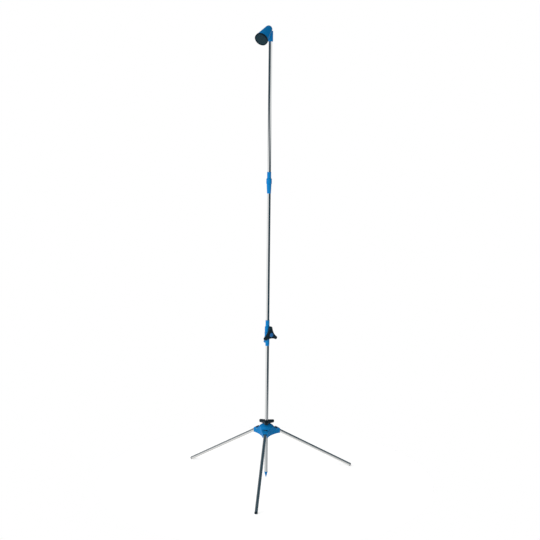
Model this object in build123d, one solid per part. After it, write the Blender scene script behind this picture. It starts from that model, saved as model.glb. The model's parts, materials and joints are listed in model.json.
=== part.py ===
from build123d import *
import os
from math import acos, atan2, cos, degrees, hypot, radians, sin, sqrt, tan

# Free-standing outdoor shower: three folding legs in a moulded hub, a pole of
# three tubes that slides through the hub and is clamped there, a shut-off
# valve with a hose inlet between the first two tubes, two screwed unions and
# a tilting shower head. Millimetres, +Z up. The origin is the point of the
# floor under the pole's axis, and -Y is the front.

os.makedirs("parts", exist_ok=True)

# Clearances
FIT = 0.02            # between pieces that stay together
RUN = 0.05            # round running fits
EASE = 0.3            # between pieces that move past each other

# Pole tubes
POLE_R = 8.0
POLE_WALL = 1.0
LOWER_LENGTH = 640.0
MIDDLE_LENGTH = 660.0
UPPER_LENGTH = 660.0

# Ground spike
SPIKE_TIP_Z = 5.0
SPIKE_CONE = 29.0
SPIKE_TIP_R = 0.9
SPIKE_PLUG = 18.0

# Legs: k turns clockwise seen from above, from just left of the front
LEG_COUNT = 3
LEG_R = 7.5
LEG_WALL = 1.0
LEG_SLOPE = 30.0      # degrees below level
LEG_TURN = 5.15       # degrees, of the front leg to the left
FOOT_RADIUS = 446.7   # tube end's centre, from the pole's axis
FOOT_EDGE = 0.6       # lowest point of the tube's end above the floor
FOOT_LIP = 3.0
FOOT_PLUG = 16.0
PIVOT_RADIUS = 46.0
LEG_TAIL = 4.0        # tube beyond the pivot pin
TAIL_NOSE_R = 9.2     # plug's round nose about the pin
HINGE_PLUG = 20.0     # plug's depth into the tube, from the tube's inner end
PIN_R = 2.0
PIN_SHY = 1.0         # pin ends below the hub's flanks

# Hub
HUB_BELOW = 20.4      # base below the pivots
HUB_CROWN = 28.6      # dome's top above the pivots
HUB_CROWN_R = 14.0
HUB_SHOULDER_R = 21.0
HUB_SHOULDER_DROP = 2.0
HUB_BROW_R = 32.0
HUB_BROW_DROP = 10.0
HUB_RIM_R = 37.0
HUB_RIM_DROP = 18.5
HUB_TIP_R = 66.0
HUB_TIP_HALF = 12.0
HUB_WAIST = 33.4      # radius of the hollow flanks at their middle
HUB_TIP_ROUND = 4.0
HUB_WALL = 3.0
HUB_BOSS_R = 15.5
HUB_RIB = 3.0
HUB_EDGE = 1.0        # round on the hub's outer edges
CHEEK = 4.0
BRIDGE = 2.5
STOP_GAP = 0.2        # between the leg and the bridge that stops it
NOTCH_IN = 37.5
NOTCH_OUT = 52.0
NOTCH_SILL = 4.2      # above the pin's axis
POLE_GUIDE = 0.3      # hub bore over the pole

# Pole clamp
NECK_R = 13.0
NECK_RISE = 10.0
SEAT_DEPTH = 15.0
SEAT_TOP_R = 11.6
SEAT_LOW_R = 10.2
COLLET_GAP = 0.15
COLLET_SPLIT = 1.6
COLLET_FLANGE = 1.2
CLAMP_LOW = 1.5       # knob's underside above the dome
CLAMP_THICK = 14.5
CLAMP_ROOF = 4.4

# Three-lobed knobs
LOBE_AT = 31.7
LOBE_R = 7.3
KNOB_WAIST = 17.0
KNOB_ROUND = 3.6
CLAMP_TURN = -93.4    # direction of the clamp knob's front lobe

# Valve
SLEEVE_DEPTH = 35.0
SLEEVE_R = 9.15
SLEEVE_TOP_R = 9.6
BODY_R = 13.0
BODY_LOW = 8.0        # body's cone starts above the lower tube's top
VALVE_RISE = 21.0     # valve axis above the lower tube's top
FLANGE_RISE = 30.0    # flange's top above the lower tube's top
FLANGE_R = 13.5
FLANGE_THICK = 4.0
VALVE_YAW = 36.0      # knob axis to the right of the front
BOSS_R = 9.8
BOSS_REACH = 20.0
CHAMBER_R = 6.2
SEAT_AT = -1.0
SEAT_THICK = 2.0
SEAT_BORE = 3.2
WATER_R = 4.0
PISTON_R = 5.8
PISTON_LENGTH = 8.5
PISTON_FLOOR = 1.0
PISTON_GROOVE_R = 1.0
WASHER_THICK = 1.2
VALVE_TRAVEL = 5.0
NOSE_R = 2.5
COLLAR_R = 5.0
COLLAR_THICK = 1.0
SPINDLE_R = 3.0
SPINDLE_REACH = 27.5
BONNET_FLANGE_R = 8.2
BONNET_FLANGE = 1.0
ORING_R = 1.0
KNOB_BACK = 15.0
KNOB_FRONT = 32.0
KNOB_RECESS_R = 10.4
KNOB_WEB = 21.5
CAP_R = 9.7
CAP_SKIRT = 1.5
CAP_DISC = 2.0
CAP_CROWN = 0.8
POCKET_DEPTH = 3.2
SCREW_R = 1.4
SCREW_HEAD_R = 3.0
SCREW_HEAD = 1.4
SCREW_LENGTH = 9.0

# Hose inlet
INLET_RISE = 26.0     # where its axis meets the pole's, above the lower tube
INLET_YAW = 16.0      # degrees from straight back towards the left
INLET_DROP = 52.0     # degrees below level
INLET_BOSS_R = 8.5
INLET_BOSS = 38.0
INLET_END = 66.0
INLET_THREAD_R = 5.6
INLET_THREAD = 7.0
SHANK_R = 6.4
LATCH_R = 8.5
LATCH_AT = 45.0
LATCH_THICK = 4.0
GROOVE_AT = 53.4
GROOVE_WIDTH = 2.4
GROOVE_R = 5.4
TIP_LAND_R = 6.9
TIP_CHAMFER = 1.6
NIPPLE_FLANGE = 3.0

# Unions
SPIGOT_R = 10.3
SPIGOT_LENGTH = 13.0
UNION_SLIP = 0.1      # spigot bore over the tube
NOTCH = 2.0
NUT_LENGTH = 53.5
NUT_BULGE_R = 12.5
NUT_BULGE = 21.0
NUT_SHOULDER = 5.0
NUT_NECK_R = 9.2
NUT_THREAD_R = 10.8
NUT_FLUTES = 16
NUT_FLUTE_R = 1.1
NUT_FLUTE_DEPTH = 0.45
NUT_FLUTE_MARGIN = 2.5
GRIP_LOW_R = 10.4
GRIP_TOP_R = 8.8
GRIP_LENGTH = 7.0
GRIP_SPLIT = 1.5
GRIP_GAP = 0.2
MIDDLE_SEAT = 4.0     # middle tube's end above the valve's flange
COUPLING_DEPTH = 26.0
COUPLING_WEB = 6.0
COUPLING_LOW_R = 9.0
COUPLING_TOP_R = 10.75
COUPLING_ABOVE = 9.3
COUPLING_LIP = 4.0

# Shower head
HOLDER_R = 11.0
HOLDER_DEPTH = 22.0
HOLDER_TOP = 24.0     # above the upper tube's top
HOLDER_ROUND = 3.0
HOLDER_PASSAGE_R = 5.5
HOLDER_PASSAGE = 12.0
HEAD_YAW = 31.0       # degrees to the left of the front
HEAD_DROP = 37.0      # degrees below level
TILT_REACH = 17.5     # tilt centre in front of the pole's axis
TILT_RISE = 30.0      # tilt centre above the upper tube's top
TILT_UP = 20.0        # degrees of travel
TILT_DOWN = 15.0
BALL_R = 9.0
BALL_GAP = 0.08
STEM_DROP = 47.0      # degrees below level, backwards
STEM_R = 4.5
STEM_BORE = 2.5
STEM_LENGTH = 23.0
STEM_SLOT = 0.6
DOME_R = 16.5
CRADLE_GAP = 0.6
HOOD_FRONT = 70.0
HOOD_FRONT_R = 29.0
HOOD_SHELL = 2.2
HOOD_SPIGOT = 5.0
HOOD_SPIGOT_R = 27.3
HOOD_SPIGOT_BORE = 25.2
CHAMBER_AT = 15.0
RING_AT = 7.2
RING_THICK = 5.8
RING_R = 11.0
RING_BORE = 4.6
GASKET = 1.0
GASKET_IN = 24.0
PLATE_THICK = 2.0
PLATE_CROWN = 1.0
RIDGE_HALF = 0.7       # raised rings between the rows of nozzles
RIDGE_RISE = 0.5
NOZZLE_R = 0.8
NOZZLE_RINGS = 3
NOZZLE_STEP = 6.5
BEZEL_R = 30.0
BEZEL_LIP_R = 25.5
BEZEL_LIP = 2.0
BEZEL_ROUND = 1.2

# Heights that follow
FOOT_Z = FOOT_EDGE + LEG_R * cos(radians(LEG_SLOPE))
LEG_REACH = (FOOT_RADIUS - PIVOT_RADIUS) / cos(radians(LEG_SLOPE))
PIVOT_Z = FOOT_Z + LEG_REACH * sin(radians(LEG_SLOPE))
HUB_TOP_Z = PIVOT_Z + HUB_CROWN
NECK_TOP_Z = HUB_TOP_Z + NECK_RISE
LOWER_Z = SPIKE_TIP_Z + SPIKE_CONE
LOWER_TOP_Z = LOWER_Z + LOWER_LENGTH
VALVE_Z = LOWER_TOP_Z + VALVE_RISE
VALVE_FLANGE_Z = LOWER_TOP_Z + FLANGE_RISE
MIDDLE_Z = VALVE_FLANGE_Z + MIDDLE_SEAT
MIDDLE_TOP_Z = MIDDLE_Z + MIDDLE_LENGTH
UPPER_Z = MIDDLE_TOP_Z + COUPLING_WEB
COUPLING_FLANGE_Z = UPPER_Z + COUPLING_ABOVE
UPPER_TOP_Z = UPPER_Z + UPPER_LENGTH
TILT_Z = UPPER_TOP_Z + TILT_RISE

# Directions and frames
KNOB_AXIS = Vector(sin(radians(VALVE_YAW)), -cos(radians(VALVE_YAW)), 0)
HEAD_LEVEL = Vector(-sin(radians(HEAD_YAW)), -cos(radians(HEAD_YAW)), 0)
TILT_AXIS = Vector(-HEAD_LEVEL.Y, HEAD_LEVEL.X, 0)
HEAD_AXIS = HEAD_LEVEL * cos(radians(HEAD_DROP)) - Vector(0, 0, sin(radians(HEAD_DROP)))
INLET_LEVEL = Vector(-sin(radians(INLET_YAW)), cos(radians(INLET_YAW)), 0)
INLET_AXIS = INLET_LEVEL * cos(radians(INLET_DROP)) - Vector(0, 0, sin(radians(INLET_DROP)))

VALVE_PLANE = Plane(origin=(0, 0, VALVE_Z), x_dir=(0, 0, 1), z_dir=KNOB_AXIS)
INLET_PLANE = Plane(origin=(0, 0, LOWER_TOP_Z + INLET_RISE), x_dir=(INLET_LEVEL.Y, -INLET_LEVEL.X, 0),
                    z_dir=INLET_AXIS)
TILT_CENTRE = HEAD_LEVEL * TILT_REACH + Vector(0, 0, TILT_Z)
HEAD_PLANE = Plane(origin=TILT_CENTRE, x_dir=TILT_AXIS, z_dir=HEAD_AXIS)


def leg_angle(k):
    """Direction of leg k in plan, in degrees from +X."""
    return -90.0 - LEG_TURN - k * 360.0 / LEG_COUNT


def turned(points):
    """A solid of revolution about Z from a closed outline of (radius, height)."""
    outline = make_face(Plane.XZ * Polyline(*points, close=True))
    return revolve(outline, Axis.Z)


def rod(radius, low, high):
    """A cylinder on the Z axis between two heights."""
    return Pos(0, 0, low) * Cylinder(radius, high - low, align=(Align.CENTER, Align.CENTER, Align.MIN))


def ring(outer, inner, low, high):
    """A tube on the Z axis between two heights."""
    return rod(outer, low, high) - rod(inner, low - 1, high + 1)


def seal(radius, height):
    """A round rubber ring that touches a shaft of the given radius."""
    return Pos(0, 0, height) * Torus(radius + FIT + ORING_R, ORING_R)


def split(width, reach, low, high):
    """The cutter for the single slit of a clamping ring."""
    return Pos(reach / 2, 0, (low + high) / 2) * Box(reach, width, high - low)


def keep(name, shape):
    export_step(shape, f"parts/{name}.step")


def lobed_outline():
    """Three round lobes joined by hollow flanks that run tangent into them."""
    gap = radians(60)
    # the flank's circle touches both lobes and passes the waist
    numerator = LOBE_AT ** 2 - 2 * LOBE_AT * KNOB_WAIST * cos(gap) + KNOB_WAIST ** 2 - LOBE_R ** 2
    flank = numerator / (2 * (LOBE_R - KNOB_WAIST + LOBE_AT * cos(gap)))
    edges = []
    for k in range(3):
        turn = Rot(0, 0, 120 * k)
        lobe = Vector(LOBE_AT, 0)
        centre = Vector(flank + KNOB_WAIST, 0).rotate(Axis.Z, 60)
        mirrored = Vector(centre.X, -centre.Y)
        left = lobe + (centre - lobe).normalized() * LOBE_R
        right = lobe + (mirrored - lobe).normalized() * LOBE_R
        waist = Vector(KNOB_WAIST, 0).rotate(Axis.Z, 60)
        following = right.rotate(Axis.Z, 120)
        edges.append(turn * ThreePointArc(right, lobe + Vector(LOBE_R, 0), left))
        edges.append(turn * ThreePointArc(left, waist, following))
    return make_face(edges)


def lobed_blank(low, high):
    """A knob blank with all its outer edges rounded."""
    blank = Pos(0, 0, low) * extrude(lobed_outline(), high - low)
    ends = blank.faces().sort_by(Axis.Z)
    return fillet(ends[0].edges() + ends[-1].edges(), KNOB_ROUND)


# Legs

def leg_plane(k):
    """Origin on the pivot, X along the leg, Y along the pin."""
    out = Vector(1, 0, 0).rotate(Axis.Z, leg_angle(k))
    along = out * cos(radians(LEG_SLOPE)) - Vector(0, 0, sin(radians(LEG_SLOPE)))
    up = out * sin(radians(LEG_SLOPE)) + Vector(0, 0, cos(radians(LEG_SLOPE)))
    return Plane(origin=out * PIVOT_RADIUS + Vector(0, 0, PIVOT_Z), x_dir=along, z_dir=up)


def along_leg(radius, start, end):
    """A cylinder on the leg's own X axis."""
    return Rot(0, 90, 0) * rod(radius, start, end)


def cross_hole(radius, half):
    return Rot(90, 0, 0) * rod(radius, -half, half)


def leg_tube():
    tube = along_leg(LEG_R, -LEG_TAIL, LEG_REACH) - along_leg(LEG_R - LEG_WALL, -LEG_TAIL - 1, LEG_REACH + 1)
    return tube - cross_hole(PIN_R + EASE, LEG_R + 1)


def hinge_plug():
    inside = along_leg(LEG_R - LEG_WALL - FIT, -LEG_TAIL, HINGE_PLUG - LEG_TAIL)
    nose = along_leg(LEG_R, -TAIL_NOSE_R - 1, -LEG_TAIL) & cross_hole(TAIL_NOSE_R, LEG_R + 1)
    return inside + nose - cross_hole(PIN_R + RUN, LEG_R + 1)


def foot_plug(k):
    """Pushed into the tube, with a lip cut flat where it meets the floor."""
    bore = LEG_R - LEG_WALL - FIT
    start = LEG_REACH - FOOT_PLUG
    plug = along_leg(bore, start, LEG_REACH) + along_leg(LEG_R, LEG_REACH, LEG_REACH + FOOT_LIP)
    hollow = along_leg(bore - 2 * LEG_WALL, start - 1, LEG_REACH - FOOT_LIP)
    below = Pos(0, 0, -FOOT_RADIUS) * Box(4 * FOOT_RADIUS, 4 * FOOT_RADIUS, 2 * FOOT_RADIUS)
    return leg_plane(k).location * (plug - hollow) - below


# Hub

def hub_plan():
    """Three arms with straight tips and hollow flanks between them."""
    edges = []
    for k in range(LEG_COUNT):
        turn = Rot(0, 0, 120 * k)
        low = Vector(HUB_TIP_R, -HUB_TIP_HALF)
        high = Vector(HUB_TIP_R, HUB_TIP_HALF)
        waist = Vector(HUB_WAIST, 0).rotate(Axis.Z, 60)
        edges.append(turn * Line(low, high))
        edges.append(turn * ThreePointArc(high, waist, low.rotate(Axis.Z, 120)))
    face = make_face(edges)
    return fillet(face.vertices(), HUB_TIP_ROUND)


def hub_dome(drop):
    """The crown, its brow and the sloping lugs, lowered by a wall's thickness."""
    slope = tan(radians(LEG_SLOPE))
    lug = (LEG_R + STOP_GAP + BRIDGE) / cos(radians(LEG_SLOPE))
    reach = HUB_TIP_R + 10
    crown = HUB_CROWN - drop
    inner = (NOTCH_OUT, lug - (NOTCH_OUT - PIVOT_RADIUS) * slope - drop)
    outer = (reach, lug - (reach - PIVOT_RADIUS) * slope - drop)
    brow = Spline((HUB_CROWN_R, 0, crown), (HUB_SHOULDER_R, 0, crown - HUB_SHOULDER_DROP),
                  (HUB_BROW_R, 0, crown - HUB_BROW_DROP), (HUB_RIM_R, 0, crown - HUB_RIM_DROP),
                  tangents=((1, 0, 0), (0.45, 0, -1)))
    rest = Polyline((HUB_RIM_R, 0, crown - HUB_RIM_DROP), (inner[0], 0, inner[1]), (outer[0], 0, outer[1]),
                    (outer[0], 0, -HUB_BELOW - 5), (0, 0, -HUB_BELOW - 5), (0, 0, crown),
                    (HUB_CROWN_R, 0, crown))
    return revolve(make_face(brow.edges() + rest.edges()), Axis.Z)


def leg_slot():
    """The space that a leg sweeps between spread and folded."""
    half = LEG_R + EASE
    rise = LEG_R + STOP_GAP
    s, c = sin(radians(LEG_SLOPE)), cos(radians(LEG_SLOPE))
    far = HUB_TIP_R
    inner = PIVOT_RADIUS - half
    start = (PIVOT_RADIUS + rise * s, rise * c)
    end = (start[0] + far * c, start[1] - far * s)
    low = -HUB_BELOW - far
    side = Polyline((inner, 0, low), (inner, 0, 0), (PIVOT_RADIUS, 0, 0), (start[0], 0, start[1]),
                    (end[0], 0, end[1]), (end[0], 0, low), close=True)
    sweep = extrude(make_face(side), half, both=True)
    pocket = Pos(PIVOT_RADIUS, 0, 0) * cross_hole(TAIL_NOSE_R + EASE, half)
    return sweep + pocket


def hub_body():
    """Moulded hub, made about its own base with the first arm along +X."""
    plan = hub_plan()
    tall = HUB_CROWN + HUB_BELOW + 5
    solid = Pos(0, 0, -HUB_BELOW) * extrude(plan, tall) & hub_dome(0)
    upper = solid.edges().filter_by(lambda e: e.center().Z > HUB_EDGE - HUB_BELOW)
    solid = fillet(upper.filter_by(GeomType.LINE, reverse=True), HUB_EDGE)
    hollow = Pos(0, 0, -HUB_BELOW - 1) * extrude(offset(plan, -HUB_WALL), tall) & hub_dome(HUB_WALL)
    inside = rod(HUB_BOSS_R, -HUB_BELOW, HUB_CROWN)
    arm = Pos(HUB_TIP_R / 2, 0, 0) * Box(HUB_TIP_R, 2 * (LEG_R + EASE + CHEEK), 2 * tall)
    root = Pos(HUB_TIP_R / 2 + NOTCH_IN - HUB_WALL, 0, 0) * Box(HUB_TIP_R, 2 * HUB_WAIST, 2 * tall)
    rib = Pos(HUB_WAIST / 2, 0, 0) * Box(HUB_WAIST, HUB_RIB, 2 * tall)
    for k in range(LEG_COUNT):
        inside += Rot(0, 0, 120 * k) * (arm + root)
        inside += Rot(0, 0, 120 * k + 60) * rib
    body = solid - hollow + (solid & inside)
    notch_width = NOTCH_OUT - NOTCH_IN
    notch = Pos(NOTCH_IN + notch_width / 2, 0, NOTCH_SILL + HUB_CROWN / 2) * Box(
        notch_width, 2 * HUB_WAIST, HUB_CROWN)
    for k in range(LEG_COUNT):
        arm_turn = Rot(0, 0, 120 * k)
        body -= arm_turn * leg_slot()
        body -= arm_turn * notch
        body -= arm_turn * Pos(PIVOT_RADIUS, 0, 0) * cross_hole(PIN_R + FIT, HUB_WAIST)
    body += rod(NECK_R, HUB_CROWN - HUB_WALL, HUB_CROWN + NECK_RISE)
    top = HUB_CROWN + NECK_RISE
    seat = turned([(0, top - SEAT_DEPTH), (SEAT_LOW_R, top - SEAT_DEPTH), (SEAT_TOP_R, top), (0, top)])
    body -= seat
    body -= rod(POLE_R + POLE_GUIDE, -HUB_BELOW - 1, top + 1)
    return Pos(0, 0, PIVOT_Z) * Rot(0, 0, leg_angle(0)) * body


def pin_half_length():
    """Half the hub's width across a pivot, less the set-back of the pin's end."""
    low = Vector(HUB_TIP_R, HUB_TIP_HALF)
    mid = Vector(HUB_WAIST, 0).rotate(Axis.Z, 60)
    chord = (low - low.rotate(Axis.Z, 120 - 2 * degrees(atan2(low.Y, low.X)))).length / 2
    sagitta = low.length * cos(radians(60) - atan2(low.Y, low.X)) - mid.length
    radius = (chord ** 2 + sagitta ** 2) / (2 * sagitta)
    centre = mid * ((mid.length + radius) / mid.length)
    return centre.Y - sqrt(radius ** 2 - (centre.X - PIVOT_RADIUS) ** 2) - PIN_SHY


def hub_pins():
    half = pin_half_length()
    pins = []
    for k in range(LEG_COUNT):
        place = Pos(0, 0, PIVOT_Z) * Rot(0, 0, leg_angle(k)) * Pos(PIVOT_RADIUS, 0, 0)
        pins.append(place * cross_hole(PIN_R, half))
    return Compound(children=pins)


def clamp_collet():
    """Split cone that the knob presses into the hub's neck."""
    low = NECK_TOP_Z - SEAT_DEPTH + COLLET_GAP
    top = NECK_TOP_Z + COLLET_FLANGE
    cone = turned([(0, low), (SEAT_LOW_R - COLLET_GAP, low), (SEAT_TOP_R - COLLET_GAP, NECK_TOP_Z),
                   (SEAT_TOP_R - COLLET_GAP, top), (0, top)])
    body = cone + rod(NECK_R - COLLET_GAP, NECK_TOP_Z + COLLET_GAP, top)
    body -= rod(POLE_R + RUN, low - 1, top + 1)
    return body - Rot(0, 0, CLAMP_TURN) * split(COLLET_SPLIT, 2 * NECK_R, low - 1, top + 1)


def clamp_knob():
    low = HUB_TOP_Z + CLAMP_LOW
    high = low + CLAMP_THICK
    body = lobed_blank(low, high)
    body -= rod(NECK_R + EASE, low - 1, high - CLAMP_ROOF)
    body -= rod(POLE_R + POLE_GUIDE, low, high + 1)
    return Rot(0, 0, CLAMP_TURN) * body


# Unions

def union_nut(base):
    """Nut with a ribbed bulge, an inner cone over the grip and a long neck."""
    low = base + NOTCH
    top = low + NUT_LENGTH
    cone = base + SPIGOT_LENGTH + 2 * ORING_R
    bore = POLE_R + POLE_GUIDE
    shoulder = low + NUT_BULGE
    tip = cone + GRIP_LENGTH + 2 * GRIP_GAP
    outside = turned([(0, low), (NUT_BULGE_R - 0.8, low), (NUT_BULGE_R, low + 0.8),
                      (NUT_BULGE_R, shoulder - 0.8), (NUT_BULGE_R - 0.8, shoulder),
                      (NUT_NECK_R, shoulder + NUT_SHOULDER), (NUT_NECK_R, top - 0.4),
                      (NUT_NECK_R - 0.4, top), (0, top)])
    inside = turned([(0, low - 1), (NUT_THREAD_R, low - 1), (NUT_THREAD_R, cone),
                     (GRIP_TOP_R + GRIP_GAP, tip), (bore, tip), (bore, top + 1), (0, top + 1)])
    flute = rod(NUT_FLUTE_R, low + NUT_FLUTE_MARGIN, shoulder - NUT_FLUTE_MARGIN)
    flute = Pos(NUT_BULGE_R + NUT_FLUTE_R - NUT_FLUTE_DEPTH, 0, 0) * flute
    body = outside
    for k in range(NUT_FLUTES):
        body -= Rot(0, 0, k * 360.0 / NUT_FLUTES) * flute
    return body - inside


def grip_ring(base):
    """Split cone that the nut closes on the tube."""
    low = base + SPIGOT_LENGTH + 2 * ORING_R + GRIP_GAP
    high = low + GRIP_LENGTH
    cone = turned([(0, low), (GRIP_LOW_R, low), (GRIP_TOP_R, high), (0, high)])
    body = cone - rod(POLE_R + RUN, low - 1, high + 1)
    return body - split(GRIP_SPLIT, 2 * GRIP_LOW_R, low - 1, high + 1)


def union_seal(base):
    return seal(POLE_R, base + SPIGOT_LENGTH + ORING_R + FIT)


def spigot(base, low):
    """Threaded end that the nut screws onto, down to its shoulder."""
    return rod(SPIGOT_R, low, base + SPIGOT_LENGTH)


# Valve

def in_valve(shape):
    return VALVE_PLANE.location * shape


def valve_body():
    low = LOWER_TOP_Z - SLEEVE_DEPTH
    top = VALVE_FLANGE_Z
    body = turned([(0, low), (SLEEVE_R - 0.6, low), (SLEEVE_R, low + 2), (SLEEVE_TOP_R, LOWER_TOP_Z - 2),
                   (BODY_R, LOWER_TOP_Z + BODY_LOW), (BODY_R, top - FLANGE_THICK - 1),
                   (FLANGE_R, top - FLANGE_THICK), (FLANGE_R, top - 0.5), (FLANGE_R - 0.5, top), (0, top)])
    body += spigot(top, top - 1)
    body += in_valve(rod(BOSS_R, 0, BOSS_REACH))
    boss = INLET_PLANE.location * rod(INLET_BOSS_R, 0, INLET_BOSS)
    body += boss
    body -= rod(POLE_R + FIT, low - 1, LOWER_TOP_Z)
    body -= rod(POLE_R + UNION_SLIP, MIDDLE_Z, top + SPIGOT_LENGTH + 1)
    body -= in_valve(rod(CHAMBER_R, SEAT_AT - SEAT_THICK / 2, BOSS_REACH + 1))
    body -= in_valve(rod(SEAT_BORE, -BODY_R / 2, 0))
    # outlet from the chamber up to the middle tube
    outlet = KNOB_AXIS * (SEAT_AT + SEAT_THICK + WATER_R - 1)
    body -= Pos(outlet.X, outlet.Y, 0) * rod(WATER_R - 1, VALVE_Z, MIDDLE_Z + 1)
    # inlet from the hose nipple to the back of the seat
    body -= INLET_PLANE.location * rod(WATER_R, 6, INLET_BOSS + 1)
    body -= INLET_PLANE.location * rod(INLET_THREAD_R + FIT, INLET_BOSS - INLET_THREAD, INLET_BOSS + 1)
    return body


def hose_nipple():
    """Push-on hose nipple with a latch collar and a sealing groove."""
    start = INLET_BOSS - INLET_THREAD
    flange = INLET_BOSS + NIPPLE_FLANGE
    outside = turned([
        (0, start), (INLET_THREAD_R, start), (INLET_THREAD_R, INLET_BOSS), (INLET_BOSS_R, INLET_BOSS),
        (INLET_BOSS_R, flange), (SHANK_R, flange + 1), (SHANK_R, LATCH_AT), (LATCH_R, LATCH_AT),
        (LATCH_R, LATCH_AT + LATCH_THICK / 2), (TIP_LAND_R, LATCH_AT + LATCH_THICK),
        (TIP_LAND_R, GROOVE_AT), (GROOVE_R, GROOVE_AT), (GROOVE_R, GROOVE_AT + GROOVE_WIDTH),
        (TIP_LAND_R, GROOVE_AT + GROOVE_WIDTH), (TIP_LAND_R, INLET_END - TIP_CHAMFER),
        (TIP_LAND_R - TIP_CHAMFER, INLET_END), (0, INLET_END)])
    return INLET_PLANE.location * (outside - rod(WATER_R, start - 1, INLET_END + 1))


def nipple_seal():
    return INLET_PLANE.location * seal(GROOVE_R, GROOVE_AT + GROOVE_WIDTH / 2)


def valve_seat():
    return in_valve(ring(CHAMBER_R - FIT, SEAT_BORE, SEAT_AT - SEAT_THICK / 2, SEAT_AT + SEAT_THICK / 2))


WASHER_Z = SEAT_AT + SEAT_THICK / 2 + FIT
PISTON_Z = WASHER_Z + WASHER_THICK
COLLAR_Z = PISTON_Z + PISTON_LENGTH + VALVE_TRAVEL + EASE
BONNET_Z = COLLAR_Z + COLLAR_THICK + FIT


def piston_washer():
    return in_valve(ring(PISTON_R - 1, 1.2, WASHER_Z, PISTON_Z))


def valve_piston():
    """Nut-like plunger that the spindle's thread draws out of the seat."""
    body = rod(PISTON_R, PISTON_Z, PISTON_Z + PISTON_LENGTH)
    body += rod(1.2 - FIT, WASHER_Z + 0.3, PISTON_Z)
    body -= rod(NOSE_R + RUN, PISTON_Z + PISTON_FLOOR, PISTON_Z + PISTON_LENGTH + 1)
    for side in (0, 90, 180, 270):
        groove = rod(PISTON_GROOVE_R, PISTON_Z - 1, PISTON_Z + PISTON_LENGTH + 1)
        body -= Rot(0, 0, side + 45) * Pos(PISTON_R, 0, 0) * groove
    return in_valve(body)


def valve_spindle():
    """Threaded nose, collar under the bonnet and a shaft to the knob."""
    nose = PISTON_Z + PISTON_FLOOR + VALVE_TRAVEL + EASE
    shape = rod(NOSE_R, nose, COLLAR_Z) + rod(COLLAR_R, COLLAR_Z, COLLAR_Z + COLLAR_THICK)
    shape += rod(SPINDLE_R, COLLAR_Z, SPINDLE_REACH)
    return in_valve(shape - rod(SCREW_R + FIT, SPINDLE_REACH - SCREW_LENGTH, SPINDLE_REACH + 1))


def valve_bonnet():
    """Screwed into the boss, with a groove for the spindle's ring."""
    groove = (BONNET_Z + BOSS_REACH) / 2
    shape = rod(CHAMBER_R - FIT, BONNET_Z, BOSS_REACH)
    shape += rod(BONNET_FLANGE_R, BOSS_REACH, BOSS_REACH + BONNET_FLANGE)
    shape -= rod(SPINDLE_R + RUN, BONNET_Z - 1, BOSS_REACH + BONNET_FLANGE + 1)
    groove_half = ORING_R + FIT
    shape -= ring(SPINDLE_R + 2 * ORING_R + 2 * FIT, 0.5, groove - groove_half, groove + groove_half)
    return in_valve(shape)


def spindle_seal():
    return in_valve(seal(SPINDLE_R, (BONNET_Z + BOSS_REACH) / 2))


def valve_knob():
    shape = lobed_blank(KNOB_BACK, KNOB_FRONT)
    shape -= rod(KNOB_RECESS_R, KNOB_BACK - 1, KNOB_WEB)
    shape -= rod(SPINDLE_R + FIT, KNOB_BACK, SPINDLE_REACH)
    shape -= rod(SCREW_R + FIT, KNOB_BACK, KNOB_FRONT)
    shape -= rod(CAP_R + 2 * FIT, KNOB_FRONT - POCKET_DEPTH, KNOB_FRONT + 1)
    return in_valve(shape)


def knob_screw():
    under = KNOB_FRONT - POCKET_DEPTH
    shape = rod(SCREW_R, SPINDLE_REACH - SCREW_LENGTH + 1, under)
    shape += rod(SCREW_HEAD_R, under, under + SCREW_HEAD)
    slot = Pos(0, 0, under + SCREW_HEAD) * Box(2 * SCREW_HEAD_R, 0.8, 1.0)
    return in_valve(shape - slot)


def knob_cap():
    """Blue button over the screw, lightly domed."""
    low = KNOB_FRONT - POCKET_DEPTH
    disc = low + CAP_SKIRT
    face = disc + CAP_DISC
    shape = turned([(0, disc), (CAP_R - 1.5, disc), (CAP_R - 1.5, low), (CAP_R, low), (CAP_R, face),
                    (CAP_R - 0.6, face + CAP_CROWN / 2), (CAP_R / 2, face + CAP_CROWN * 0.9),
                    (0, face + CAP_CROWN)])
    return in_valve(shape)


# Pole

def pole_tube(low, length):
    return ring(POLE_R, POLE_R - POLE_WALL, low, low + length)


def ground_spike():
    plug = POLE_R - POLE_WALL - FIT
    top = LOWER_Z + SPIKE_PLUG
    shape = turned([(0, SPIKE_TIP_Z), (SPIKE_TIP_R, SPIKE_TIP_Z), (POLE_R, LOWER_Z - 1), (POLE_R, LOWER_Z),
                    (plug, LOWER_Z), (plug, top), (0, top)])
    return shape - rod(plug - 2 * POLE_WALL, LOWER_Z, top + 1)


def coupling_body():
    """Socket glued on the middle tube, with the union's spigot on top."""
    low = MIDDLE_TOP_Z - COUPLING_DEPTH
    top = COUPLING_FLANGE_Z
    body = turned([(0, low), (COUPLING_LOW_R - 0.4, low), (COUPLING_LOW_R, low + 1),
                   (COUPLING_TOP_R, top - COUPLING_LIP), (COUPLING_TOP_R, top - 0.4),
                   (COUPLING_TOP_R - 0.4, top), (0, top)])
    body += spigot(top, top - 1)
    body -= rod(POLE_R + FIT, low - 1, MIDDLE_TOP_Z)
    body -= rod(POLE_R - 2 * POLE_WALL, MIDDLE_TOP_Z - 1, UPPER_Z + 1)
    return body - rod(POLE_R + UNION_SLIP, UPPER_Z, top + SPIGOT_LENGTH + 1)


# Shower head

def in_head(shape):
    return HEAD_PLANE.location * shape


def hood_angle(shell):
    """Half angle of the hood's cone, which runs tangent out of the dome."""
    front = HOOD_FRONT_R + shell
    return degrees(acos((DOME_R + shell) / hypot(front, HOOD_FRONT)) - atan2(HOOD_FRONT, front))


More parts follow.
